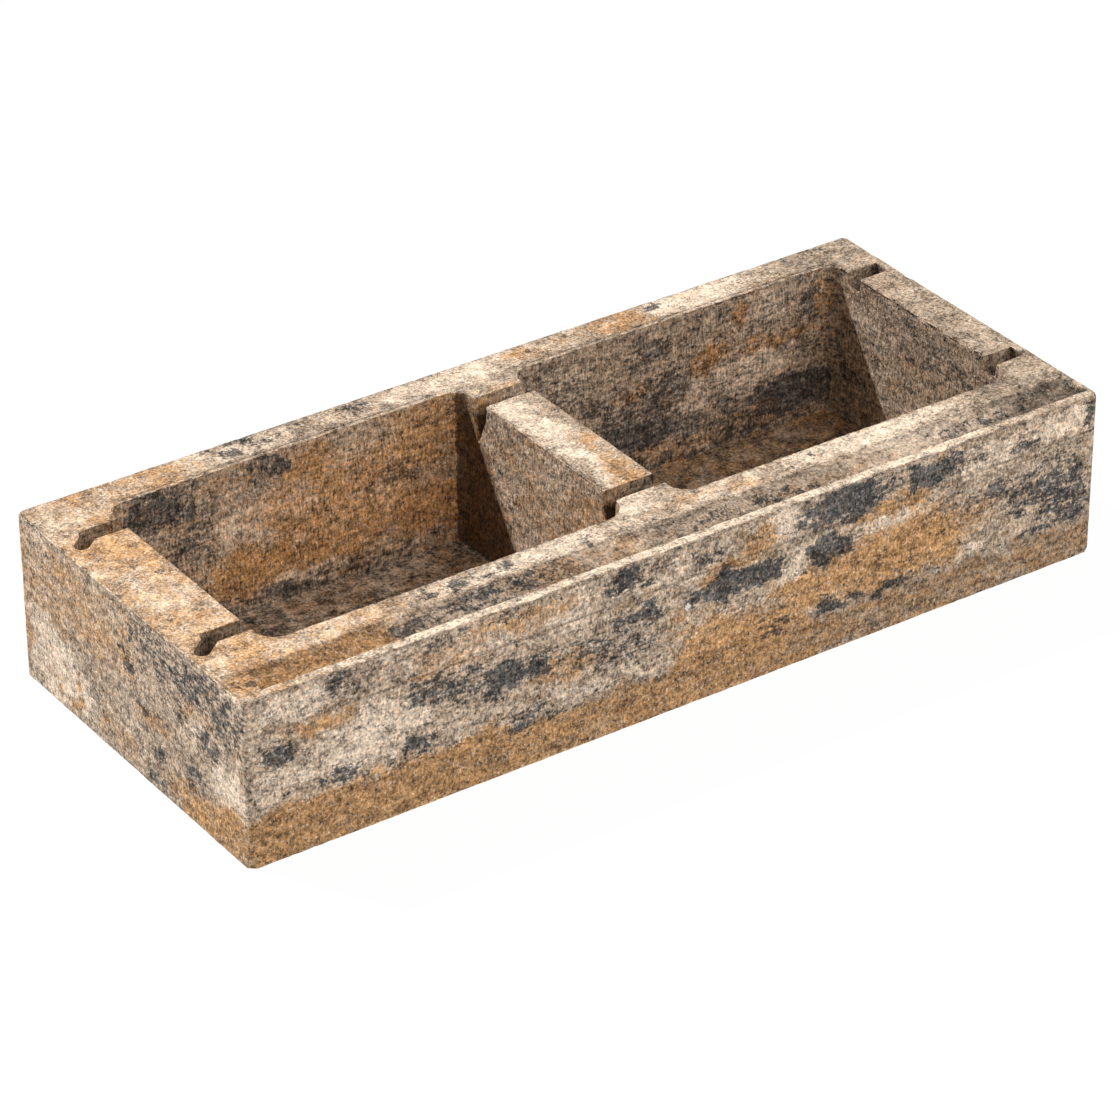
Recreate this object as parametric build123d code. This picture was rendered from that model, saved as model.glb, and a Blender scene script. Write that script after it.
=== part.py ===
from build123d import *
import math
import os

# A hollow concrete wall block, cast in one piece from nearly dry concrete and
# stripped from its mould straight away. Sizes are in millimetres. It lies as it
# is laid in a wall: length along X, the show face towards -Y, the chambers open
# upwards and closed below. The origin is at the middle of the underside.

# Overall size
block_length = 600.0
block_depth = 250.0
block_height = 110.0

# Walls around the two chambers. The left end wall is the thick one.
front_wall = 48.5
back_wall = 25.0
left_wall = 45.0
right_wall = 28.0
web_thickness = 36.0

# Chambers. The mould cores stop short of the pallet, so a thin floor closes each
# chamber below. They taper downwards so that the cores pull out upwards, and the
# corner nearest the front and the right end is rounded more than the others.
floor_thickness = 8.0
core_draft = 4.0
chamber_corner = 12.0
chamber_wide_corner = 17.0
chamber_edge_break = 1.0

# Break lines. Two run the whole length, one behind each long wall, and every end
# wall and the web carry a groove where a line crosses them.
line_width = 12.0
front_pad = 15.0
back_pad = 15.5
web_groove_straight = 11.0
web_groove_depth = 27.0
right_groove_straight = 8.0
right_groove_depth = 12.0
right_groove_stop = 6.5

# The grooves of the left end wall turn towards the show face and end round.
left_groove_depth = 25.0
hook_bend = 22.0
hook_angle = 41.0
hook_width = 9.0
front_hook_reach = 16.0
back_hook_reach = 13.0

# Shallow trough in the top, behind a narrow lip along the show face.
lip_width = 7.5
flat_band = 19.0
trough_depth = 7.5
trough_lip_draft = 1.5
trough_left_stop = 20.0
trough_right_stop = 6.5
trough_end_draft = 4.0

# Outer corners and edges
corner_round = 4.0
top_edge_break = 1.0
bottom_edge_break = 0.5

# Places that follow from the sizes above
left_end = -block_length / 2
right_end = block_length / 2
front_face = -block_depth / 2
back_face = block_depth / 2
chamber_length = (block_length - left_wall - right_wall - web_thickness) / 2
chamber_depth = block_depth - front_wall - back_wall
chamber_front = front_face + front_wall
chamber_back = back_face - back_wall
left_chamber_start = left_end + left_wall
web_start = left_chamber_start + chamber_length
web_end = web_start + web_thickness
right_chamber_end = right_end - right_wall
front_line = chamber_front + front_pad + line_width / 2
back_line = chamber_back - back_pad - line_width / 2


def chamber_outline(inset):
    """Plan of a chamber about its own centre, drawn in by inset on every side."""
    outline = Rectangle(chamber_length - 2 * inset, chamber_depth - 2 * inset)
    wide = outline.vertices().filter_by(lambda v: v.X > 0 and v.Y < 0)
    outline = fillet(wide, chamber_wide_corner - inset)
    others = outline.vertices().filter_by(lambda v: v.X < 0 or v.Y > 0)
    return fillet(others, chamber_corner - inset)


def chamber_core(start):
    """The mould core of the chamber whose left wall face is at x = start."""
    middle_x = start + chamber_length / 2
    middle_y = chamber_front + chamber_depth / 2
    top = Pos(middle_x, middle_y, block_height) * chamber_outline(0)
    bottom = Pos(middle_x, middle_y, floor_thickness) * chamber_outline(core_draft)
    return loft([bottom, top], ruled=True)


def straight_groove(start, end, line, straight, depth):
    """A groove along X with upright sides and a pointed bottom."""
    half = line_width / 2
    section = Polyline(
        (line - half, block_height),
        (line - half, block_height - straight),
        (line, block_height - depth),
        (line + half, block_height - straight),
        (line + half, block_height),
        close=True,
    )
    return extrude(Plane.YZ.offset(start) * make_face(section), amount=end - start)


def hooked_groove(line, reach):
    """A groove from the left chamber into the left end wall, with a hooked end."""
    bend_x = left_end + hook_bend
    run = left_chamber_start + chamber_corner - bend_x
    turn = math.radians(hook_angle)
    hook_x = bend_x - reach * math.cos(turn)
    hook_y = line - reach * math.sin(turn)
    plan = Pos(bend_x + run / 2, line) * Rectangle(run, line_width)
    plan += Pos(bend_x, line) * Circle(line_width / 2)
    plan += Pos((bend_x + hook_x) / 2, (line + hook_y) / 2) * Rot(0, 0, hook_angle) * (
        SlotCenterToCenter(reach, hook_width)
    )
    top = Plane.XY.offset(block_height) * plan
    return extrude(top, amount=-left_groove_depth)


def trough():
    """The wedge taken out behind the lip: its floor falls from the flat band."""
    left = left_end + trough_left_stop
    right = right_end - trough_right_stop
    rear = chamber_front - flat_band
    lip_back = front_face + lip_width
    foot = lip_back + trough_lip_draft
    low = block_height - trough_depth
    rear_left = (left, rear, block_height)
    rear_right = (right, rear, block_height)
    foot_left = (left, foot, low)
    foot_right = (right, foot, low)
    lip_left = (left - trough_end_draft, lip_back, block_height)
    lip_right = (right + trough_end_draft, lip_back, block_height)
    rings = [
        (rear_left, rear_right, lip_right, lip_left),
        (rear_left, rear_right, foot_right, foot_left),
        (lip_left, lip_right, foot_right, foot_left),
        (rear_left, foot_left, lip_left),
        (rear_right, foot_right, lip_right),
    ]
    faces = [Face(Wire.make_polygon(ring, close=True)) for ring in rings]
    return Solid(Shell(faces))


# The outer form, with its upright corners rounded as the mould box leaves them
block = extrude(RectangleRounded(block_length, block_depth, corner_round), block_height)
block = chamfer(block.faces().sort_by(Axis.Z)[-1].edges(), top_edge_break)
block = chamfer(block.faces().sort_by(Axis.Z)[0].edges(), bottom_edge_break)

# The two chambers, with the arris of each mouth taken off
block -= chamber_core(left_chamber_start)
block -= chamber_core(web_end)
mouths = block.faces().sort_by(Axis.Z)[-1].inner_wires()
block = chamfer([edge for mouth in mouths for edge in mouth.edges()], chamber_edge_break)

# The break lines across the web and both end walls
for line, reach in ((front_line, front_hook_reach), (back_line, back_hook_reach)):
    block -= straight_groove(
        web_start - core_draft,
        web_end + core_draft,
        line,
        web_groove_straight,
        web_groove_depth,
    )
    block -= straight_groove(
        right_chamber_end - core_draft,
        right_end - right_groove_stop,
        line,
        right_groove_straight,
        right_groove_depth,
    )
    block -= hooked_groove(line, reach)

# The trough behind the lip
block -= trough()

os.makedirs("parts", exist_ok=True)
export_step(block, "parts/concrete_block.step")
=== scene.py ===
# %% [markdown]
# # A cast concrete wall block, from plain solid to finished picture
# The block is one piece of nearly dry concrete, rammed into a steel mould and
# stripped at once. The solid from the CAD program already has the right size,
# chambers, break lines and trough. This notebook gives that solid its surface:
# small wear and pores in the mesh, and pigment clouds and sand grain in the
# material. Lengths are in metres, as Blender counts them.

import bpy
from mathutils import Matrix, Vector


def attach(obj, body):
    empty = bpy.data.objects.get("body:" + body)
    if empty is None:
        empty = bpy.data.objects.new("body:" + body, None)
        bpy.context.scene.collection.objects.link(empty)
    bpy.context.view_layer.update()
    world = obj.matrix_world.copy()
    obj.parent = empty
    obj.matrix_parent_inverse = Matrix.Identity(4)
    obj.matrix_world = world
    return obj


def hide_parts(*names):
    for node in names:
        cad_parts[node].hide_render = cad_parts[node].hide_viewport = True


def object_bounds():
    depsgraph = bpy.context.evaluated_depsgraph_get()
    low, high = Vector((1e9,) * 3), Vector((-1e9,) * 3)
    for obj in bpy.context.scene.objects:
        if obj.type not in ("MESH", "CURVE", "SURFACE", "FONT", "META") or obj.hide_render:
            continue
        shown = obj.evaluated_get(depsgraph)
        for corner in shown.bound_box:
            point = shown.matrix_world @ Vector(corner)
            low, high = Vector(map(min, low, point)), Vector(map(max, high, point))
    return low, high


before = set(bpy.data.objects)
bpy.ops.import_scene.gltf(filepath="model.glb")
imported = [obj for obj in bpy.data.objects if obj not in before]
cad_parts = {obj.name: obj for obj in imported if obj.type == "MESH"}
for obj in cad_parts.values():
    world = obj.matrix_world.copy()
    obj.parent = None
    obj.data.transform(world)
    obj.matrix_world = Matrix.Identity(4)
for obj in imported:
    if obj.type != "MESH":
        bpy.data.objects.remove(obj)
cad_box = [list(corner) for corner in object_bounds()]

import math

import bmesh
import bpy
import numpy as np
from mathutils import Matrix, Vector, kdtree
from mathutils import noise as lattice

MM = 0.001
low, high = (Vector(corner) for corner in cad_box)
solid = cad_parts["concrete_block"]
print("solid:", len(solid.data.polygons), "faces, box", [round(v, 4) for v in high - low])

# %% [markdown]
# ## Where things are on the block
# The finish depends on the place: edges wear, the chambers' mouths have a
# pressed rim, and each face has its own clouds. So the main places are worked
# out once, in millimetres, from the solid's box and the thickness of its walls.
# They could be searched for in the mesh too, but would then have no names.

# %% Main places
LEFT, FRONT = round(low.x / MM, 1), round(low.y / MM, 1)
RIGHT, BACK, TOP = (round(place / MM, 1) for place in high)
LEFT_WALL, WEB, RIGHT_WALL = 45.0, 36.0, 28.0
FRONT_WALL, BACK_WALL = 48.5, 25.0
LIP, FLAT_BAND = 7.5, 19.0

chamber_length = (RIGHT - LEFT - LEFT_WALL - WEB - RIGHT_WALL) / 2
web_start = LEFT + LEFT_WALL + chamber_length
CHAMBERS = ((LEFT + LEFT_WALL, web_start), (web_start + WEB, RIGHT - RIGHT_WALL))
CHAMBER_FRONT, CHAMBER_BACK = FRONT + FRONT_WALL, BACK - BACK_WALL
LIP_BACK = FRONT + LIP
TROUGH_REAR = CHAMBER_FRONT - FLAT_BAND
print("chambers in x:", CHAMBERS, "in y:", (CHAMBER_FRONT, CHAMBER_BACK))

# %% [markdown]
# ## Dice the solid into tiles
# Wear needs vertices, and the flat faces of the CAD mesh have them only along
# their borders. A voxel remesh would give enough of them but would blur every
# arris. Cutting the mesh by three stacks of parallel planes keeps each corner
# and each groove exactly where it is, and fills the flat faces with square
# tiles. A few more planes run close beside the edges, where the wear is finest.

# %% Cut planes
tile = 3.2
edge_offsets = (-2.9, -2.5, -1.1, 1.1, 2.5, 2.9)
least_gap = 0.9


def cut_places(start, end, edges):
    """Evenly spaced places from start to end, and some close beside each edge."""
    count = round((end - start) / tile)
    places = [start + (end - start) * i / count for i in range(1, count)]
    close = [edge + offset for edge in edges for offset in edge_offsets]
    places = [p for p in places if min(abs(p - c) for c in close) > least_gap]
    return sorted(p for p in places + close if start < p < end)


x_edges = (LEFT, RIGHT, *CHAMBERS[0], *CHAMBERS[1])
y_edges = (FRONT, BACK, CHAMBER_FRONT, CHAMBER_BACK)
cuts = (
    cut_places(LEFT, RIGHT, x_edges),
    cut_places(FRONT, BACK, y_edges),
    cut_places(0.0, TOP, (0.0, TOP)),
)
print("cut planes:", [len(places) for places in cuts])

# %% [markdown]
# The planes cut a copy, because the solid itself stays plain for the physics.
# The copy is welded first, and the diagonals that a CAD mesh lays across its
# flat faces are dissolved, or every cut would split them into slivers.

# %% Dice a copy
weld_distance = 0.002 * MM
cut_tolerance = 0.01 * MM
flat_angle = math.radians(0.4)


def diced_copy(source, name):
    """A copy of source, welded, freed of needless diagonals and cut into tiles."""
    work = bmesh.new()
    work.from_mesh(source.data)
    bmesh.ops.remove_doubles(work, verts=work.verts, dist=weld_distance)
    bmesh.ops.dissolve_limit(
        work, angle_limit=flat_angle, verts=work.verts, edges=work.edges
    )
    for axis, places in enumerate(cuts):
        normal = Vector([float(axis == i) for i in range(3)])
        for place in places:
            everything = work.verts[:] + work.edges[:] + work.faces[:]
            bmesh.ops.bisect_plane(
                work,
                geom=everything,
                dist=cut_tolerance,
                plane_co=normal * place * MM,
                plane_no=normal,
            )
    mesh = bpy.data.meshes.new(name)
    work.to_mesh(mesh)
    work.free()
    piece = bpy.data.objects.new(name, mesh)
    bpy.context.scene.collection.objects.link(piece)
    return piece


block = diced_copy(solid, "block_skin")
block.data.calc_loop_triangles()
print("skin:", len(block.data.vertices), "vertices,", len(block.data.loop_triangles), "triangles")

# %% [markdown]
# ## Find the arrises
# Concrete loses its sharp edges first. To know how near each vertex is to an
# edge, points are laid along every convex edge of the solid and put in a search
# tree. A bevel would round all edges evenly, but real wear comes and goes, so
# the distance is kept and the wear is worked out from it.

# %% Points along the arrises
arris_angle = math.radians(28)


def arris_tree(source, spacing):
    """Points along the convex edges of source, in a tree for quick searching."""
    work = bmesh.new()
    work.from_mesh(source.data)
    bmesh.ops.remove_doubles(work, verts=work.verts, dist=weld_distance)
    found = []
    for edge in work.edges:
        if not edge.is_manifold or not edge.is_convex:
            continue
        if edge.calc_face_angle(0.0) < arris_angle:
            continue
        start, end = edge.verts[0].co, edge.verts[1].co
        count = max(1, round((end - start).length / spacing))
        found += [start.lerp(end, (i + 0.5) / count) for i in range(count)]
    work.free()
    tree = kdtree.KDTree(len(found))
    for index, point in enumerate(found):
        tree.insert(point, index)
    tree.balance()
    print("arris points:", len(found))
    return tree


arrises = arris_tree(solid, 1.5 * MM)

# %% [markdown]
# ## Relief in the mesh
# Every vertex moves a little way into the concrete, never out of it, so the
# block keeps its measured size. Six things add up: soft unevenness, pores, drag
# lines that the mould leaves on upright faces, worn arrises, chips, and the low
# rim that the ramming shoe presses behind each chamber. A displacement texture
# could do the first two only, so all six are written as plain functions.

# %% Helpers for the relief
DRAG_STRETCH, DRAG_WIDTH = 0.08, 7.0
RIM_WIDTH, RIM_DEPTH = 2.7, 0.7


def clouds(point, size, octaves=3, shift=0.0):
    """Smooth random value, about -1 to 1, that changes over the given size in mm."""
    spot = Vector(point) / (size * MM) + Vector((shift, 2.7 * shift, -1.3 * shift))
    return lattice.fractal(spot, 0.75, 2.0, octaves)


def smooth(value, start, end):
    """0 before start, 1 after end and a soft step between."""
    t = min(1.0, max(0.0, (value - start) / (end - start)))
    return t * t * (3.0 - 2.0 * t)


def drag_lines(point):
    """Fine upright lines, long in z and narrow across."""
    pulled = Vector((point.x, point.y, point.z * DRAG_STRETCH))
    return clouds(pulled, DRAG_WIDTH, 2, 31.0)


def rim_depth(x, y):
    """Depth in mm of the pressed rim behind the chambers' mouths."""
    for start, end in CHAMBERS:
        beside = start - 1.0 < x < end + 1.0
        if beside and CHAMBER_BACK - 6.0 < y < CHAMBER_BACK + RIM_WIDTH:
            return RIM_DEPTH
    return 0.0


print("depth of the pressed rim:", rim_depth(CHAMBERS[0][0], CHAMBER_BACK), "mm")

# %% [markdown]
# A block loses small chips at its corners and arrises when it is stacked. Each
# one could be cut out with a boolean, but a ball of ragged noise that pushes the
# vertices in looks the same at this size and leaves the mesh closed.

# %% Chips
# Places (x, y, z), size and depth in mm where a corner or arris has broken off.
CHIPS = (
    (-300, -125, 0, 4.5, 1.7),
    (300, -125, 110, 3.6, 1.2),
    (300, -125, 0, 4.5, 1.6),
    (-300, 125, 110, 3.0, 1.0),
    (-20, -125, 110, 3.0, 0.7),
    (212, -125, 110, 3.5, 0.7),
    (-9, -84, 110, 3.0, 0.8),
    (120, 125, 0, 6.0, 2.0),
    (300, 60, 110, 4.0, 1.0),
)


def chip_depth(point):
    """How far in mm the nearest chip reaches into the concrete here."""
    depth = 0.0
    for x, y, z, size, deep in CHIPS:
        away = (point - Vector((x, y, z)) * MM).length / (size * MM)
        ragged = away + 0.25 * clouds(point, 4.0, 2, 5.0)
        depth = max(depth, deep * (1.0 - smooth(ragged, 0.45, 1.0)))
    return depth


print("chips:", len(CHIPS))

# %% [markdown]
# Now the depths are added up, vertex by vertex. Wear comes from two noises, a
# slow one for stretches that were handled more and a fine one for lost grains,
# and it fades with the distance from the arris.

# %% Move the vertices
# Sizes and depths in mm
MEAN_DEPTH = 0.14
UNEVEN_SIZE, UNEVEN_DEPTH = 14.0, 0.12
PORE_SIZE, PORE_DEPTH = 4.5, 0.7
DRAG_MEAN, DRAG_DEPTH = 0.06, 0.10
WEAR_REACH = 1.6
sharp_angle = math.radians(42)


def relief(point, normal):
    """Depth in mm by which the surface lies under the CAD solid at a vertex."""
    depth = MEAN_DEPTH + UNEVEN_DEPTH * clouds(point, UNEVEN_SIZE, 3)
    depth += PORE_DEPTH * smooth(clouds(point, PORE_SIZE, 1, 11.0), 0.5, 0.9)
    if abs(normal.z) < 0.5:
        depth += DRAG_MEAN + DRAG_DEPTH * drag_lines(point)
    if normal.z > 0.6 and point.z > (TOP - 1.5) * MM:
        depth += rim_depth(point.x / MM, point.y / MM)
    distance = arrises.find(point)[2] / MM
    if distance < WEAR_REACH:
        wear = 0.12 + 0.30 * smooth(clouds(point, 22.0, 3, 3.0), 0.0, 0.8)
        wear += 0.35 * smooth(clouds(point, 4.0, 1, 8.0), 0.2, 0.8)
        depth += wear * (1.0 - distance / WEAR_REACH)
    return max(0.0, depth) + chip_depth(point)


def roughen(piece):
    """Moves each vertex of piece inwards by its relief and reports the depths."""
    mesh = piece.data
    moves = []
    for vertex in mesh.vertices:
        depth = relief(vertex.co, vertex.normal)
        moves.append(depth)
    places = [v.co - v.normal * d * MM for v, d in zip(mesh.vertices, moves)]
    for vertex, place in zip(mesh.vertices, places):
        vertex.co = place
    mesh.update()
    print("relief in mm: mean %.2f, most %.2f" % (np.mean(moves), np.max(moves)))


as_cast = [(v.co.copy(), v.normal.copy()) for v in block.data.vertices]
roughen(block)
block.data.shade_smooth()
block.data.set_sharp_from_angle(angle=sharp_angle)

# %% [markdown]
# ## Pigment clouds
# The mixer drops cream, ochre and black-grey concrete into the mould by turns, so the colours lie
# in clouds that are long and low on the show face. A painted image would fix them to one block;
# here each cloud is a few soft patches, and noise tears their edges. Three weights are stored at
# each vertex: dark, ochre and pale. The material later mixes its colours from them.

# %% Clouds of the show face
# A patch is its middle, its half sizes (mm) and its strength, here in x and z.
FRONT_DARK = (
    (-43, 99, 13, 8, 1.0), (108, 98, 28, 11, 1.35), (178, 98, 26, 9, 0.92),
    (104, 71, 17, 8, 1.15), (34, 72, 30, 7, 1.2), (-172, 74, 22, 10, 0.62),
    (-124, 65, 28, 9, 1.1), (-240, 101, 6, 9, 0.85), (-279, 70, 10, 6, 0.9),
    (-194, 42, 11, 6, 0.95), (-110, 29, 26, 10, 0.7), (58, 31, 13, 8, 1.05),
    (100, 31, 16, 6, 1.1), (142, 29, 20, 3, 0.75), (262, 58, 30, 14, 0.7),
    (224, 66, 16, 9, 0.75), (297, 97, 5, 9, 0.95), (-70, 62, 20, 10, 0.52),
    (-40, 74, 14, 7, 0.9), (12, 97, 9, 6, 0.75), (190, 70, 26, 8, 0.25),
    (248, 91, 12, 4, 0.7), (-234, 41, 9, 5, 0.8), (-8, 21, 9, 4, 0.6),
    (-50, 52, 24, 12, 0.5), (-294, 46, 4, 4, 0.8), (280, 40, 26, 8, 0.75),
    (-150, 104, 40, 4, 0.4), (272, 31, 24, 3, 0.7), (20, 80, 20, 4, 0.5),
)
FRONT_PALE = (
    (-273, 54, 30, 16, 0.5), (-222, 60, 26, 20, 0.85), (-270, 97, 26, 10, 0.9),
    (66, 97, 14, 11, 0.9), (142, 75, 26, 8, 1.1), (222, 94, 20, 9, 0.8),
    (274, 97, 20, 9, 0.95), (72, 71, 12, 11, 0.9), (-84, 92, 18, 14, 0.7),
    (-145, 94, 50, 8, 0.5), (20, 52, 24, 9, 0.75), (-60, 40, 34, 8, 0.5),
    (206, 50, 24, 8, 0.4), (-20, 88, 24, 8, 0.5), (-190, 60, 12, 8, 0.7),
    (230, 33, 40, 4, 0.6),
)
FRONT_OCHRE = (
    (150, 52, 58, 20, 1.1), (53, 93, 15, 10, 1.0), (22, 84, 26, 4, 0.85),
    (146, 84, 25, 5, 1.0), (-115, 98, 36, 8, 0.7), (-165, 92, 22, 12, 0.6),
    (20, 42, 34, 14, 0.9), (-256, 81, 26, 5, 0.6), (84, 50, 30, 14, 0.9),
    (-244, 81, 12, 8, 0.85), (-90, 58, 24, 8, 0.55), (-10, 56, 12, 12, 0.5),
)
# Places along the foot and the height of its ochre band there.
OCHRE_FOOT = (
    (-300, 33), (-140, 37), (-125, 27), (-20, 27), (0, 44), (70, 44), (90, 26), (300, 25),
)
print("patches on the show face:", len(FRONT_DARK + FRONT_PALE + FRONT_OCHRE))

# %% Clouds of the left end and of the top
# Left end: y and z. Top: x and y.
LEFT_DARK = (
    (-80, 92, 46, 16, 0.6), (-30, 92, 34, 18, 0.45), (10, 73, 5, 10, 0.9),
    (-85, 59, 11, 6, 1.0), (-65, 33, 7, 10, 0.75), (-15, 48, 20, 4, 0.8),
    (-29, 27, 8, 7, 0.7), (45, 27, 7, 4, 0.6), (-30, 8, 14, 6, 0.6),
    (-60, 70, 26, 12, 0.35), (-104, 76, 18, 10, 0.45), (-90, 102, 14, 7, 0.6),
)
LEFT_PALE = (
    (90, 28, 26, 24, 1.25), (66, 20, 22, 16, 0.9), (98, 40, 20, 14, 0.9),
    (-108, 42, 20, 14, 1.25), (-72, 58, 24, 12, 0.45), (-112, 106, 14, 5, 0.8),
    (20, 30, 30, 16, 0.3), (100, 104, 8, 6, 0.6),
)
LEFT_OCHRE = (
    (66, 20, 2.5, 22, 1.1), (84, 18, 2.5, 16, 0.7), (-90, 12, 46, 14, 0.8),
    (-110, 22, 18, 10, 0.7), (-20, 44, 16, 7, 0.6), (122, 60, 6, 50, 0.7),
    (60, 78, 60, 26, 0.42), (-66, 76, 6, 8, 0.5), (20, 12, 30, 8, 0.4),
)
TOP_DARK = (
    (-150, 116, 34, 10, 0.52), (-76, 116, 18, 8, 0.4), (146, 118, 4, 9, 1.0),
    (270, 116, 26, 9, 0.2), (-121, -87, 30, 8, 0.6), (-60, -84, 18, 5, 0.25),
    (-291, -106, 4, 7, 0.9), (-181, -108, 10, 7, 0.85), (-120, -106, 44, 8, 0.6),
    (60, -106, 50, 8, 0.42), (215, -108, 30, 7, 0.5), (270, -104, 30, 10, 0.3),
    (-268, 20, 6, 5, 0.5), (-284, -30, 5, 5, 0.4),
)
TOP_PALE = (
    (-150, 112, 34, 10, 0.6), (-6, 114, 50, 12, 0.65), (180, 114, 44, 12, 0.9),
    (-66, -86, 34, 9, 0.95), (-2, -70, 16, 16, 0.8), (150, -86, 80, 9, 0.9),
    (4, 40, 12, 36, 0.9), (2, -30, 8, 40, 0.8), (-230, -84, 50, 8, 0.35),
    (-275, 20, 40, 110, 0.6), (-40, -106, 26, 8, 0.45), (224, -104, 24, 5, 0.8),
    (-10, -121, 300, 4, 0.95), (170, -106, 50, 12, 0.7), (-230, 114, 60, 12, 0.6),
    (-120, -87, 40, 8, 0.6), (4, 80, 14, 12, 0.6), (-250, -86, 60, 10, 0.85),
    (90, 114, 60, 10, 0.5), (80, -87, 60, 9, 0.6),
)
TOP_OCHRE = (
    (-275, 0, 40, 140, 0.62), (-240, 114, 60, 14, 0.62), (-230, -86, 70, 12, 0.5),
    (-245, -106, 66, 12, 0.9), (58, 114, 24, 10, 0.6), (112, 114, 26, 12, 0.85),
    (14, -34, 9, 20, 0.75), (12, -46, 12, 5, 0.9), (14, 6, 7, 14, 0.55),
    (16, -86, 22, 8, 0.5), (58, -88, 14, 6, 0.65), (-60, -107, 50, 9, 0.55),
    (-280, -60, 30, 60, 0.5), (18, 84, 14, 10, 0.5), (120, -107, 40, 8, 0.35),
)
print("patches on the left end and the top:", len(LEFT_DARK + LEFT_PALE + LEFT_OCHRE)
      + len(TOP_DARK + TOP_PALE + TOP_OCHRE))

# %% Clouds inside the chambers
# Back walls: x and z.
INNER_DARK = (
    (-222, 95, 25, 17, 0.95), (-203, 70, 17, 19, 0.7), (-146, 98, 11, 11, 0.95),
    (-55, 69, 13, 11, 0.65), (-150, 12, 110, 10, 0.7), (-135, 14, 22, 8, 0.95),
    (-152, 49, 10, 4, 0.55), (-30, 96, 16, 8, 0.35), (116, 36, 38, 11, 1.1),
    (125, 58, 44, 16, 0.6), (60, 60, 30, 40, 0.3), (205, 72, 60, 40, 0.28),
    (240, 30, 40, 14, 1.2), (254, 88, 11, 11, 0.9), (88, 66, 15, 7, 0.65),
    (132, 90, 15, 12, 0.5), (162, 74, 5, 5, 0.8), (180, 32, 60, 12, 0.6),
    (150, 12, 120, 10, 0.6), (48, 90, 20, 20, 0.3), (240, 62, 20, 8, 0.4),
)
INNER_OCHRE = (
    (-160, 37, 28, 14, 1.0), (-32, 38, 30, 14, 0.95), (-120, 96, 18, 11, 0.6),
    (-90, 60, 60, 30, 0.5), (-30, 86, 30, 22, 0.55), (-100, 40, 60, 14, 0.6),
    (195, 94, 5, 8, 1.1), (178, 72, 13, 6, 0.95), (225, 71, 28, 5, 0.7),
    (119, 66, 13, 5, 0.75), (145, 54, 12, 5, 0.6), (216, 27, 10, 3, 0.65),
    (268, 88, 8, 12, 0.6), (150, 18, 80, 8, 0.5),
)
INNER_PALE = (
    (-152, 71, 40, 9, 0.85), (-90, 90, 24, 8, 0.5), (-120, 25, 18, 4, 0.75),
    (195, 54, 48, 13, 0.6), (218, 94, 18, 12, 0.55), (66, 88, 20, 16, 0.4),
    (-60, 52, 30, 6, 0.3),
)
print("patches on the chambers' back walls:", len(INNER_DARK + INNER_OCHRE + INNER_PALE))

# %% [markdown]
# A patch is full in its core and gone at its rim. Its outline is a rounded box
# rather than an ellipse, as clumps of concrete flatten against the mould. Before
# a place is looked up it is pushed sideways by noise, which tears the outline.

# %% Weigh the patches at a point
PATCH_CORE, PATCH_RIM = 0.5, 1.45


def weight(patches, u, v):
    """The strongest patch at (u, v) in mm, fading from its core to its rim."""
    best = 0.0
    for middle_u, middle_v, half_u, half_v, strength in patches:
        across, up = abs(u - middle_u) / half_u, abs(v - middle_v) / half_v
        if max(across, up) < PATCH_RIM:
            reach = (across ** 3 + up ** 3) ** (1 / 3)
            best = max(best, strength * (1.0 - smooth(reach, PATCH_CORE, PATCH_RIM)))
    return best


def foot_height(x):
    """Height in mm of the ochre band along the foot of the show face."""
    places, heights = zip(*OCHRE_FOOT)
    return float(np.interp(x, places, heights))


def wander(point, size, amount, shift):
    """A random sideways push in mm."""
    return amount * clouds(point, size, 3, shift)


print("ochre foot is", round(foot_height(0.0)), "mm high in the middle")

# %% [markdown]
# Each face asks its own patches. Where a face has none, clouds of plain noise
# stand in, so the block has the same mix all round. The faces that need sums of
# their own get a function each, which keeps the long function below readable.

# %% Pigment of single faces, and the web's painted shadow
WEB_MIDDLE = 8.0
SHADOW_EDGE_SLOPE = 1.38


def web_painted_shadow(y, z):
    """Painted shadow: 1 in the far corner of the web's left face, behind the slanting edge of the
    back wall's shadow, and 0 before that edge.
    """
    return smooth(y - CHAMBER_BACK + 10.0 + (TOP - z) / SHADOW_EDGE_SLOPE, 0.0, 12.0)


def free_clouds(point):
    """Dark, ochre and pale noise, a little flattened, that belongs to no patch."""
    flat = Vector((point.x, point.y, point.z * 2.2))
    dark = smooth(clouds(flat, 55.0, 4, 50.0), 0.05, 0.8)
    ochre = smooth(clouds(flat, 75.0, 4, 51.0), -0.15, 0.6)
    pale = smooth(clouds(flat, 50.0, 4, 52.0), 0.0, 0.7)
    return dark, ochre, pale


def show_face_pigment(x, u, v, dark, pale):
    """Weights on the show face, with the ochre foot below its patches."""
    foot = 1.0 - smooth(v, foot_height(x) - 4.0, foot_height(x) + 4.0)
    dark = weight(FRONT_DARK, u, v) * (1.0 - 0.5 * foot) + 0.08 * (1.0 - foot) + 0.14 * dark
    ochre = max(foot * (1.0 - 0.35 * smooth(x, 60.0, 120.0)), weight(FRONT_OCHRE, u, v))
    pale = weight(FRONT_PALE, u, v) * (1.0 - foot) + 0.2 * pale
    return dark, ochre + 0.1 * (1.0 - foot), pale


def chamber_floor_pigment(x, dark, ochre, pale):
    """Weights on the two chamber floors, the right one more ochre."""
    if x < WEB_MIDDLE:
        return 0.5 + 0.2 * dark, 0.4 + 0.2 * ochre, 0.45 + 0.2 * pale
    return 0.42 + 0.2 * dark, 0.7 + 0.2 * ochre, 0.3 + 0.2 * pale


print("web's left face: 1 in the far corner:", web_painted_shadow(CHAMBER_BACK, 50.0))

# %% [markdown]
# One function then asks which way the surface looks and where it is, and sends every point to its
# face. The far corner of the web's left face gets a painted shadow: behind the slanting edge of
# the back wall's shadow it turns browner and less pale. The back and the underside have no
# patches: they take the noise, and are more ochre near the foot, as the show face is.

# %% Pigment of every face
FACING = 0.6
FLOOR_REACH = 40.0


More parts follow.
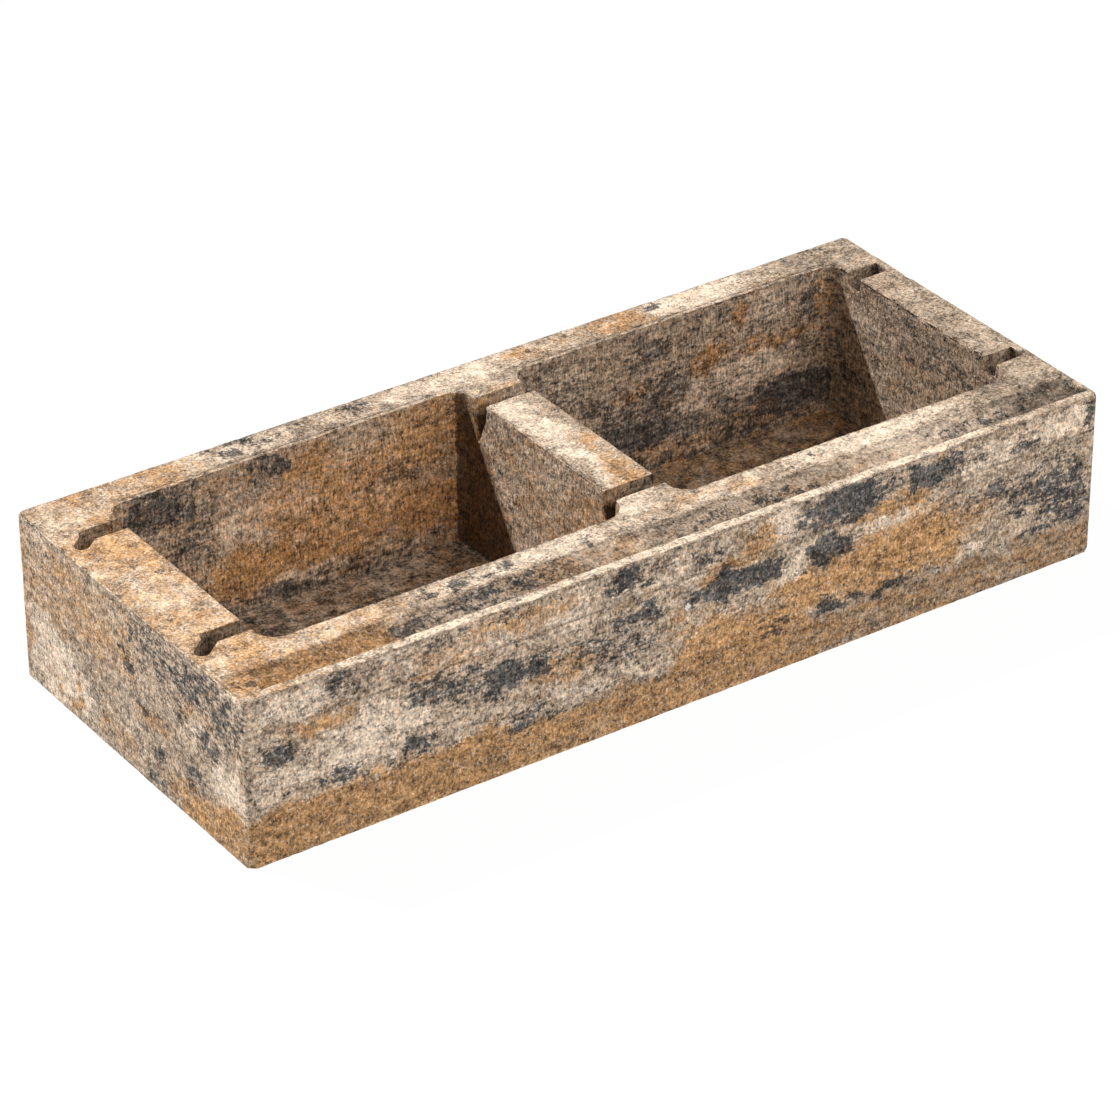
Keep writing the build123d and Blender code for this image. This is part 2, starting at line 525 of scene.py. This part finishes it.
def pigment_and_painted_shade(point, normal):
    """Dark, ochre and pale weights of the concrete at a point of the surface, with a painted
    shadow in the far corner of the web's left face.
    """
    push_u = wander(point, 26.0, 10.0, 40.0) + wander(point, 9.0, 6.0, 41.0)
    push_v = wander(point, 20.0, 5.0, 42.0) + wander(point, 8.0, 4.0, 43.0)
    x, y, z = (c / MM for c in point)
    u, v = x + push_u, z + push_v
    dark, ochre, pale = free_clouds(point)
    if normal.z > FACING and z < FLOOR_REACH:
        return chamber_floor_pigment(x, dark, ochre, pale)
    if normal.z > FACING:
        v = y + 0.6 * push_v
        ochre = weight(TOP_OCHRE, u, v) + 0.15 * ochre
        dark = weight(TOP_DARK, u, v) + 0.1 * dark
        return dark, ochre, weight(TOP_PALE, u, v) + 0.25 * pale
    if normal.y < -FACING and y < TROUGH_REAR:
        return show_face_pigment(x, u, v, dark, pale)
    if normal.y < -FACING:
        right_chamber = x > WEB_MIDDLE
        dark = weight(INNER_DARK, u, v) + 0.15 * dark + (0.15 if right_chamber else 0.0)
        ochre = weight(INNER_OCHRE, u, v) + (0.1 if right_chamber else 0.35)
        return dark, ochre, weight(INNER_PALE, u, v) + 0.1
    if normal.x < -FACING and x < CHAMBERS[0][0]:
        u = y + push_u
        dark = weight(LEFT_DARK, u, v) + 0.1 * dark
        ochre = weight(LEFT_OCHRE, u, v) + 0.15
        return dark, ochre, weight(LEFT_PALE, u, v) + 0.15 * pale
    if normal.x < -FACING and x < WEB_MIDDLE:
        # Painted shadow: the far corner of the web's left face turns browner and less pale behind
        # the back wall's shadow edge.
        corner = web_painted_shadow(y, z)
        ochre = 0.25 + 0.25 * ochre + 0.45 * corner
        return 0.1 + 0.1 * dark, ochre, (0.3 + 0.3 * pale) * (1.0 - corner)
    if normal.x < -FACING:
        return 0.32 + 0.3 * dark, 0.1 + 0.15 * ochre, 0.25 + 0.3 * pale
    if abs(normal.z) < FACING and z < 30.0:
        ochre = max(ochre, 0.8 * (1.0 - smooth(z + push_v, 18.0, 32.0)))
    if normal.z < -FACING:
        ochre = max(ochre, 1.1 - 0.8 * smooth(y + 3.0 * push_v, -80.0, 90.0))
    return 0.85 * dark, 0.8 * ochre, 0.8 * pale


back_wall = pigment_and_painted_shade(Vector((0.0, BACK, 50.0)) * MM, Vector((0.0, 1.0, 0.0)))
print("weights in the middle of the back:", [round(share, 2) for share in back_wall])

# %% [markdown]
# A fourth number is a tone: how light the mix is, whatever its colour; in the grooves and in the
# far corner of the web's left face it also holds painted shade. The rubbed lip is lighter, the
# trough behind it is darker, and so is the end of the block that got the greyer mix.

# %% Tone of the top
def top_tone(x, y, grey):
    """Lightness of the lip, the trough and the tops of the walls."""
    if y < LIP_BACK + 0.5:
        value = 1.0 - 0.14 * grey
    elif y < TROUGH_REAR and LEFT + 19.0 < x < RIGHT - 6.0:
        value = 0.76 * (1.0 - 0.42 * grey)
    elif x > CHAMBERS[1][1]:
        value = 1.0 - 0.12 * grey
    else:
        value = 1.0 - 0.21 * grey
    if x < -170.0 and TROUGH_REAR < y < CHAMBER_BACK:
        value *= 1.08
    return value


middle_of_trough = (LIP_BACK + TROUGH_REAR) / 2
print("tone of the lip:", top_tone(0.0, FRONT, 0.0), "of the trough:",
      top_tone(0.0, middle_of_trough, 0.0))

# %% [markdown]
# The walls come next. The soft lights of this small studio reach deeper into a chamber than
# daylight does, so the far corner of the web's left face gets a painted shadow: its tone is set
# lower than the rest of it, behind the slanting edge of the back wall's shadow. Lamps with less
# reach would darken the back walls too.

# %% Tone of the walls and the foot
def side_tone(point, normal):
    """Lightness of the chambers' walls, the left end and the foot, with a painted shadow in the
    far corner of the web's left face.
    """
    x, y, z = (c / MM for c in point)
    looks_left = normal.x < -FACING
    near_left_chamber = CHAMBERS[0][0] - 1.0 < x < CHAMBERS[0][1] + 8.0
    if z > 2.0 and near_left_chamber and y > CHAMBER_FRONT - 1.0:
        # Painted shadow: the far corner of the web's left face is darkened behind the back wall's
        # shadow edge.
        return 1.06 * (0.84 * (1.0 - 0.66 * web_painted_shadow(y, z)) if looks_left else 1.0)
    if looks_left and x > 200.0:
        return 0.75
    if looks_left and x < CHAMBERS[0][0]:
        return 0.97 + 0.12 * smooth(z, 45.0, 65.0)
    if normal.y < -FACING and y < TROUGH_REAR and z < 30.0:
        return 0.82 - 0.09 * smooth(x + wander(point, 20.0, 20.0, 61.0), 60.0, 140.0)
    return 1.0


high_on_end = Vector((LEFT, 0.0, 80.0)) * MM
print("tone high on the left end: %.2f" % side_tone(high_on_end, Vector((-1.0, 0.0, 0.0))))

# %% [markdown]
# Grooves are darker still: this is painted shade, deepest in the pointed foot of the web's
# grooves. The tone of a point is then that of its top or wall, times that of the groove it may
# lie in.

# %% Painted shade of the grooves, and tone of any point
GREY_END = (231.0, 243.0)


def groove_painted_shade(x, y, z):
    """Painted shade inside the break lines of the two end walls and the web, deepest in the web's
    pointed foot.
    """
    if not (2.0 < z < TOP - 1.0 and abs(y) < 100.0):
        return 1.0
    # Painted shade in the break lines of the end walls.
    if LEFT + 3.0 < x < CHAMBERS[0][0] - 0.5:
        return 0.6 if y < 0.0 else 0.8
    if CHAMBERS[1][1] + 0.5 < x < RIGHT - 3.0:
        return 0.68
    if CHAMBERS[0][1] + 0.5 < x < CHAMBERS[1][0] - 0.5:
        # Painted shade in the web's break lines, darkest in their pointed foot below 97 mm.
        return (0.72 if y < 0.0 else 1.05) * (0.2 + 0.8 * smooth(z, 97.0, 102.0))
    return 1.0


def tone(point, normal):
    """Lightness of the mix at a point, 1 being plain, with painted shade in the grooves and in
    the web's far corner.
    """
    x, y, z = (c / MM for c in point)
    grey = smooth(x + wander(point, 14.0, 6.0, 60.0), *GREY_END)
    on_top = normal.z > FACING and z > 95.0
    value = top_tone(x, y, grey) if on_top else side_tone(point, normal)
    return value * groove_painted_shade(x, y, z)


print("tone deep in the web's front groove: %.2f" % groove_painted_shade(WEB_MIDDLE, -50.0, 90.0))

# %% [markdown]
# The four numbers go into one colour attribute, which the material reads back
# between the vertices. A vertex group could hold only one number each.

# %% Store the weights
def store_weights(piece, places):
    """Writes the three weights and the tone of every vertex into one attribute."""
    values = np.ones((len(places), 4), np.float32)
    for row, (point, normal) in enumerate(places):
        values[row, :3] = pigment_and_painted_shade(point, normal)
        values[row, 3] = tone(point, normal)
    layer = piece.data.color_attributes.new("pigment_and_painted_shade", "FLOAT_COLOR", "POINT")
    layer.data.foreach_set("color", values.ravel())
    print("mean weights and tone:", [round(float(v), 2) for v in values.mean(0)])


store_weights(block, as_cast)

# %% [markdown]
# ## The concrete material
# Seen close, the surface is sand: grains of cream, ochre and black about one
# millimetre across, with pores between. Seen from a step back the clouds win.
# So the material works at several sizes. The stored weights give the clouds,
# noise of a few millimetres tears their edges into speckle, and a cell texture
# picks a tint for each grain. Everything is worked out in the block's own
# space, so no unwrapping is needed and nothing slides when the camera moves.

# %% Helpers that add and join nodes
concrete = bpy.data.materials.new("clouded_concrete")
concrete.use_nodes = True
tree = concrete.node_tree
tree.nodes.clear()
print("new material:", concrete.name)


def add(kind, **settings):
    """A new node of that kind with its settings."""
    node = tree.nodes.new(kind)
    for name, value in settings.items():
        setattr(node, name, value)
    return node


def plug(socket, value):
    """Feeds a socket from another socket or from a plain value."""
    if isinstance(value, bpy.types.NodeSocket):
        tree.links.new(value, socket)
    else:
        socket.default_value = value


def calc(operation, first, second=0.0, third=0.0):
    """The result of one sum on numbers."""
    node = add("ShaderNodeMath", operation=operation)
    for socket, value in zip(node.inputs, (first, second, third)):
        plug(socket, value)
    return node.outputs[0]


def grade(value, start, end, low=0.0, high=1.0):
    """Maps value from start..end to low..high with a soft step."""
    node = add("ShaderNodeMapRange", interpolation_type="SMOOTHSTEP")
    for socket, number in zip(node.inputs, (value, start, end, low, high)):
        plug(socket, number)
    return node.outputs[0]


# %% [markdown]
# Three more helpers work on colours and patterns: one lays a colour over another
# by a share, one stretches coordinates, and one gives noise whose blotches have a
# size in millimetres, which is easier to judge than a scale.

# %% Helpers for colours and patterns
def tint(share, under, over):
    """Lays the colour over on the colour under by the share."""
    node = add("ShaderNodeMix", data_type="RGBA")
    plug(node.inputs[0], share)
    plug(node.inputs[6], under)
    plug(node.inputs[7], over)
    return node.outputs[2]


def stretched(where, factors, shift=(0.0, 0.0, 0.0)):
    """Coordinates multiplied by three factors and shifted, to read a pattern elsewhere."""
    node = add("ShaderNodeVectorMath", operation="MULTIPLY_ADD")
    plug(node.inputs[0], where)
    node.inputs[1].default_value = factors
    node.inputs[2].default_value = shift
    return node.outputs[0]


def mottle(where, size, detail=3.0, rough=0.6, shift=0.0):
    """Noise between 0 and 1 whose blotches are about size mm across."""
    node = add("ShaderNodeTexNoise", noise_dimensions="3D")
    if shift:
        where = stretched(where, (1.0, 1.0, 1.0), (shift, -shift, 0.5 * shift))
    plug(node.inputs["Vector"], where)
    node.inputs["Scale"].default_value = 1000.0 / size
    node.inputs["Detail"].default_value = detail
    node.inputs["Roughness"].default_value = rough
    return node.outputs["Fac"]


# %% [markdown]
# The concrete falls into the mould in layers, so its clouds are a little longer
# sideways than high. The mould then drags the grains of every upright face into
# fine lines as it is pulled off, while level faces stay open and speckled. So
# one set of coordinates is flattened for the clouds, one is flatter still for
# their smeared edges, and one is much drawn out for the lines.

# %% Where on the block
place = add("ShaderNodeTexCoord").outputs["Object"]
layered = stretched(place, (1.0, 1.0, 2.2))
smeared = stretched(place, (1.0, 1.0, 3.6))
dragged = stretched(place, (1.0, 1.0, 0.14))
print("sets of stretched coordinates:", len(tree.nodes) - 1)

# %% [markdown]
# The grains get a set of their own, a little drawn out on upright faces and plain
# on level ones. A face's true normal tells which of the two it is, because the
# shaded normal bends at every worn arris.

# %% Which way the face looks
facing = add("ShaderNodeSeparateXYZ")
plug(facing.inputs[0], add("ShaderNodeNewGeometry").outputs["True Normal"])
level = grade(calc("ABSOLUTE", facing.outputs["Z"]), 0.45, 0.75)
upright = calc("SUBTRACT", 1.0, level)
grainy = add("ShaderNodeMix", data_type="VECTOR")
plug(grainy.inputs[0], level)
plug(grainy.inputs[4], stretched(place, (1.0, 1.0, 0.78)))
plug(grainy.inputs[5], place)
grainy = grainy.outputs[1]
print("material nodes so far:", len(tree.nodes))

# %% [markdown]
# The walls inside the chambers are dragged more strongly than the outside, for
# the cores are drawn out of wet concrete. A mask made of plain comparisons finds
# them: behind the front wall's face, between the ends and below the top.

# %% Mask of the chambers, and the stored weights
along = add("ShaderNodeSeparateXYZ")
plug(along.inputs[0], place)
behind_front = calc("GREATER_THAN", along.outputs["Y"], (CHAMBER_FRONT - 5.0) * MM)
between_ends = calc("LESS_THAN", calc("ABSOLUTE", along.outputs["X"]), (RIGHT - 5.0) * MM)
inside = calc("MULTIPLY", behind_front, between_ends)
inside = calc("MULTIPLY", inside, calc("LESS_THAN", along.outputs["Z"], (TOP - 4.0) * MM))

# The attribute holds the pigment weights and the tone, painted shade and shadow included.
stored = add("ShaderNodeAttribute", attribute_name="pigment_and_painted_shade")
weights = add("ShaderNodeSeparateColor")
plug(weights.inputs[0], stored.outputs["Color"])
dark_weight, ochre_weight, pale_weight = weights.outputs[:3]
print("material nodes so far:", len(tree.nodes))

# %% [markdown]
# The sand itself comes first. A cell texture gives every grain three random
# numbers, and noise of about the same size keeps the grains from looking like
# tiles. The clump noise is what makes neighbours alike over some millimetres.

# %% Sand grains, clumps and drag lines
GRAIN_SIZE = 1.15
speck = mottle(grainy, 1.8, 3.0, 0.85)
clump = mottle(layered, 10.0, 4.0, 0.74, 0.53)
lines = mottle(dragged, 1.3, 2.0, 0.7)
grains = add("ShaderNodeTexVoronoi", feature="F1")
plug(grains.inputs["Vector"], grainy)
grains.inputs["Scale"].default_value = 1000.0 / GRAIN_SIZE
pick = add("ShaderNodeSeparateColor")
plug(pick.inputs[0], grains.outputs["Color"])
chance, second_chance, third_chance = pick.outputs[:3]
print("grains of about", GRAIN_SIZE, "mm")

# %% [markdown]
# Each cloud's weight is added to a slow noise, a smeared one, a fine one and a
# little of each grain's own chance, and the sum goes through a step. Where the
# weight is high nearly every grain takes the colour, where it is low only a few
# do, and between them the cloud breaks up into clumps, streaks and specks, as
# sprinkled pigment does. A soft step lets the ochre and cream blend, a steep
# one keeps the black grains black. Inside the chambers the drawn core smears the
# black, so there its step is mostly a soft one.


# %% Break the clouds up into specks
def broken(weight_socket, slow, streak, fine, loose, shift):
    """A cloud's weight torn by noises, each given as size in mm and share."""
    slow_noise = mottle(layered, slow[0], 4.0, 0.62, shift)
    streak_noise = mottle(smeared, streak[0], 3.0, 0.65, shift)
    fine_noise = mottle(grainy, fine[0], 3.0, 0.72, shift)
    value = calc("MULTIPLY_ADD", calc("SUBTRACT", slow_noise, 0.5), slow[1], weight_socket)
    value = calc("MULTIPLY_ADD", calc("SUBTRACT", streak_noise, 0.5), streak[1], value)
    value = calc("MULTIPLY_ADD", calc("SUBTRACT", fine_noise, 0.5), fine[1], value)
    value = calc("MULTIPLY_ADD", calc("SUBTRACT", third_chance, 0.5), loose, value)
    return value, fine_noise


dark, dark_fine = broken(dark_weight, (14.0, 1.9), (7.0, 2.2), (3.0, 1.5), 0.35, 0.0)
soft_dark = grade(dark, 0.2, 1.15, 0.0, 0.95)
dark = grade(dark, 0.5, 0.66)
soft_share = calc("MULTIPLY_ADD", inside, 0.55, 0.2)
softer = calc("MULTIPLY", calc("SUBTRACT", soft_dark, dark), soft_share)
dark = calc("ADD", dark, softer)
ochre, ochre_fine = broken(ochre_weight, (30.0, 1.5), (10.0, 1.0), (4.0, 1.0), 0.2, 0.37)
ochre = grade(ochre, 0.08, 1.1)
pale, pale_fine = broken(pale_weight, (22.0, 1.8), (8.0, 1.0), (3.4, 1.4), 0.3, 0.71)
pale = grade(pale, 0.2, 1.0)
print("material nodes so far:", len(tree.nodes))

# %% [markdown]
# Each of the three mixes has a light and a deep tint, chosen by the noise, since
# sand of one colour is never even. They are laid over the plain stone one after
# another, the black last, because its grains hide whatever is below them.

# %% Mix the colours
STONE = (0.51, 0.40, 0.30, 1.0)
SHADE = (0.215, 0.155, 0.108, 1.0)
CREAM = (0.83, 0.675, 0.53, 1.0)
OCHRE = (0.575, 0.315, 0.125, 1.0)
RUST = (0.32, 0.155, 0.058, 1.0)
BLACK = (0.020, 0.025, 0.030, 1.0)
SLATE = (0.155, 0.153, 0.149, 1.0)
UMBER = (0.075, 0.048, 0.032, 1.0)

uneven = calc("MULTIPLY_ADD", clump, 0.8, calc("MULTIPLY", speck, 1.2))
colour = tint(grade(calc("ADD", uneven, pale_fine), 1.15, 1.7), SHADE, STONE)
colour = tint(calc("MULTIPLY", pale, 0.9), colour, CREAM)
ochre_mix = tint(grade(calc("ADD", uneven, ochre_fine), 1.15, 1.75), RUST, OCHRE)
colour = tint(calc("MULTIPLY", ochre, 0.9), colour, ochre_mix)
dark_mix = tint(grade(uneven, 0.85, 1.35), BLACK, SLATE)
dark_mix = tint(grade(ochre_weight, 0.3, 0.9, 0.0, 0.7), dark_mix, UMBER)
colour = tint(calc("MULTIPLY", dark, 0.93), colour, dark_mix)
print("material nodes so far:", len(tree.nodes))

# %% [markdown]
# Last come single grains of white quartz, rust and black, and the lightness:
# every grain, speck, clump and drag line is a little lighter or darker than the
# next, and the stored tone is multiplied in. Changing the lightness after the
# mixing keeps each tint's own colour.

# %% Single grains and lightness
QUARTZ = (0.88, 0.77, 0.66, 1.0)
RUSTY_GRAIN = (0.52, 0.24, 0.07, 1.0)
BLACK_GRAIN = (0.055, 0.048, 0.042, 1.0)
clean = calc("SUBTRACT", 1.0, calc("MULTIPLY", dark, 0.6))
white_grain = calc("MULTIPLY", grade(second_chance, 0.88, 0.93), clean)
black_grain = calc("MULTIPLY", grade(third_chance, 0.92, 0.95), grade(dark_fine, 0.4, 0.6))
rust_grain = calc("MULTIPLY", grade(chance, 0.86, 0.9), clean)
colour = tint(calc("MULTIPLY", white_grain, 0.35), colour, QUARTZ)
colour = tint(calc("MULTIPLY", rust_grain, 0.3), colour, RUSTY_GRAIN)
colour = tint(calc("MULTIPLY", black_grain, 0.6), colour, BLACK_GRAIN)
light = calc("MULTIPLY_ADD", calc("SUBTRACT", chance, 0.5), 0.35, 1.0)
light = calc("MULTIPLY_ADD", calc("SUBTRACT", speck, 0.5), 3.1, light)
light = calc("MULTIPLY_ADD", calc("SUBTRACT", clump, 0.5), 2.3, light)
drawn = calc("MULTIPLY", calc("SUBTRACT", lines, 0.5), upright)
light = calc("MULTIPLY_ADD", drawn, calc("MULTIPLY_ADD", inside, 1.3, 0.7), light)
light = calc("MULTIPLY", light, stored.outputs["Alpha"])
shading = add("ShaderNodeVectorMath", operation="SCALE")
plug(shading.inputs[0], colour)
plug(shading.inputs["Scale"], light)
colour = shading.outputs[0]
print("material nodes so far:", len(tree.nodes))

# %% [markdown]
# Two marks of the show face are too fine for the mesh. Where two parts of the
# mould meet, a faint dark line runs along the face, and one white pebble lies
# open in it. Both are measured from the block's own coordinates.

# %% Mould line and white pebble
SEAM_HEIGHT = 86.0
PEBBLE = (-3.0, -125.0, 67.0)
PEBBLE_WHITE = (0.84, 0.80, 0.74, 1.0)
on_front = calc("LESS_THAN", along.outputs["Y"], (FRONT + 2.0) * MM)
from_seam = calc("ABSOLUTE", calc("SUBTRACT", along.outputs["Z"], SEAM_HEIGHT * MM))
seam = calc("MULTIPLY", grade(from_seam, 1.3 * MM, 0.2 * MM), on_front)
seam = calc("MULTIPLY", seam, grade(clump, 0.35, 0.6))
colour = tint(calc("MULTIPLY", seam, 0.6), colour, UMBER)
pebble_spot = add("ShaderNodeVectorMath", operation="DISTANCE")
plug(pebble_spot.inputs[0], place)
pebble_spot.inputs[1].default_value = [c * MM for c in PEBBLE]
off_centre = pebble_spot.outputs["Value"]
ragged = calc("MULTIPLY_ADD", calc("SUBTRACT", dark_fine, 0.5), 6.0 * MM, off_centre)
pebble = grade(ragged, 2.7 * MM, 2.0 * MM)
colour = tint(calc("MULTIPLY", pebble, 0.9), colour, PEBBLE_WHITE)
print("mould line at", SEAM_HEIGHT, "mm, pebble at", PEBBLE)

# %% [markdown]
# Grains of a millimetre are too many for the mesh, so a bump gives them their
# relief: each cell of the grain texture is a small dome and the speck noise adds
# the gaps between. Dry concrete hardly shines, so the shader is rough and its
# gloss low.

# %% Bump and shader
grain_height = calc("MULTIPLY", grains.outputs["Distance"], -0.7)
height = calc("MULTIPLY_ADD", speck, 2.0, grain_height)
bump = add("ShaderNodeBump")
bump.inputs["Strength"].default_value = 0.8
bump.inputs["Distance"].default_value = 0.5 * MM
plug(bump.inputs["Height"], height)
shader = add("ShaderNodeBsdfPrincipled")
shader.inputs["Specular IOR Level"].default_value = 0.25
plug(shader.inputs["Base Color"], colour)
plug(shader.inputs["Roughness"], grade(speck, 0.2, 0.8, 0.82, 0.97))
plug(shader.inputs["Normal"], bump.outputs[0])
plug(add("ShaderNodeOutputMaterial").inputs["Surface"], shader.outputs[0])
print("material nodes:", len(tree.nodes))

# %% [markdown]
# ## Put the skin in place
# The skin stands for the plain solid, which stays hidden for the physics. Both get the concrete
# material, and the skin rides on the one body.

# %% Dress the block
block.data.materials.clear()
block.data.materials.append(concrete)
solid.data.materials.clear()
solid.data.materials.append(concrete)
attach(block, "root")
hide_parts("concrete_block")
print(block.name, "stands for", solid.name)

# %% [markdown]
# ## Floor
# The block lies on a plain pale floor. The floor glows, like a sheet of paper
# on a light table, so that the block's shadow on it stays faint.

# %% Pale floor
floor_mesh = bpy.data.meshes.new("floor")
half_floor = 6.0
corners = [(-1, -1), (1, -1), (1, 1), (-1, 1)]
spots = [(x * half_floor, y * half_floor, 0) for x, y in corners]
floor_mesh.from_pydata(spots, [], [(0, 1, 2, 3)])
floor = bpy.data.objects.new("floor", floor_mesh)
bpy.context.scene.collection.objects.link(floor)
paper = bpy.data.materials.new("pale_floor")
paper.use_nodes = True
paper_shader = paper.node_tree.nodes["Principled BSDF"]
paper_shader.inputs["Base Color"].default_value = (0.03, 0.03, 0.03, 1.0)
paper_shader.inputs["Roughness"].default_value = 0.9
paper_shader.inputs["Specular IOR Level"].default_value = 0.1
paper_shader.inputs["Emission Color"].default_value = (1.0, 1.0, 1.0, 1.0)
paper_shader.inputs["Emission Strength"].default_value = 0.975
floor_mesh.materials.append(paper)
print("floor:", 2 * half_floor, "m wide")

# %% [markdown]
# ## Light
# The chambers' shadows show where the key light stands: behind the block, to
# its left and rather high. It is small, for the shadow edges are crisp. A broad
# soft light from the front right opens the back walls of the chambers, and a
# pale sky fills the rest.


# %% Key light, front light and sky
def add_sun(name, turn, height, energy, spread, colour):
    """A far light from the compass turn (degrees, 0 is the back, + is right)."""
    turn, height = math.radians(turn), math.radians(height)
    towards = Vector((
        math.sin(turn) * math.cos(height),
        math.cos(turn) * math.cos(height),
        math.sin(height),
    ))
    lamp = bpy.data.objects.new(name, bpy.data.lights.new(name, "SUN"))
    lamp.data.energy = energy
    lamp.data.angle = math.radians(spread)
    lamp.data.color = colour
    lamp.rotation_euler = towards.to_track_quat("Z", "Y").to_euler()
    bpy.context.scene.collection.objects.link(lamp)


add_sun("key", -30.0, 49.0, 3.95, 0.8, (1.0, 0.985, 0.96))
add_sun("front_light", 165.0, 35.0, 1.3, 40.0, (1.0, 0.985, 0.965))
sky = bpy.data.worlds.new("studio")
sky.use_nodes = True
sky.node_tree.nodes["Background"].inputs["Color"].default_value = (1.0, 0.99, 0.975, 1.0)
sky.node_tree.nodes["Background"].inputs["Strength"].default_value = 0.2
bpy.context.scene.world = sky
bpy.context.scene.view_settings.view_transform = "Standard"
print("lights:", [light.name for light in bpy.data.lights])

# %% [markdown]
# ## Camera
# Seven corners of the block fix the camera: it looks down on the left front
# corner through a long lens. Aiming it with a constraint would put the block's
# middle in the middle of the frame, so its axes are built by hand, which keeps
# the tiny roll and the small offsets.

# %% Camera at the picture's angle
turn = math.radians(-34.616)
lift = math.radians(31.080)
roll = math.radians(-0.186)
distance, shift_right, shift_up = 2.93107, -0.00502, -0.01666
backwards = Vector((
    math.sin(turn) * math.cos(lift), -math.cos(turn) * math.cos(lift), math.sin(lift)
))
level_right = Vector((math.cos(turn), math.sin(turn), 0.0))
level_up = backwards.cross(level_right)
right = level_right * math.cos(roll) + level_up * math.sin(roll)
up = level_up * math.cos(roll) - level_right * math.sin(roll)
middle = (low + high) / 2
camera = bpy.data.objects.new("camera", bpy.data.cameras.new("camera"))
spot = middle + backwards * distance + level_right * shift_right + level_up * shift_up
camera.matrix_world = Matrix((
    (right.x, up.x, backwards.x, spot.x),
    (right.y, up.y, backwards.y, spot.y),
    (right.z, up.z, backwards.z, spot.z),
    (0.0, 0.0, 0.0, 1.0),
))
camera.data.sensor_width = 36.0
camera.data.lens = 159.13
camera.data.clip_end = 30.0
bpy.context.scene.collection.objects.link(camera)
bpy.context.scene.camera = camera
print("camera at", [round(c, 3) for c in spot])
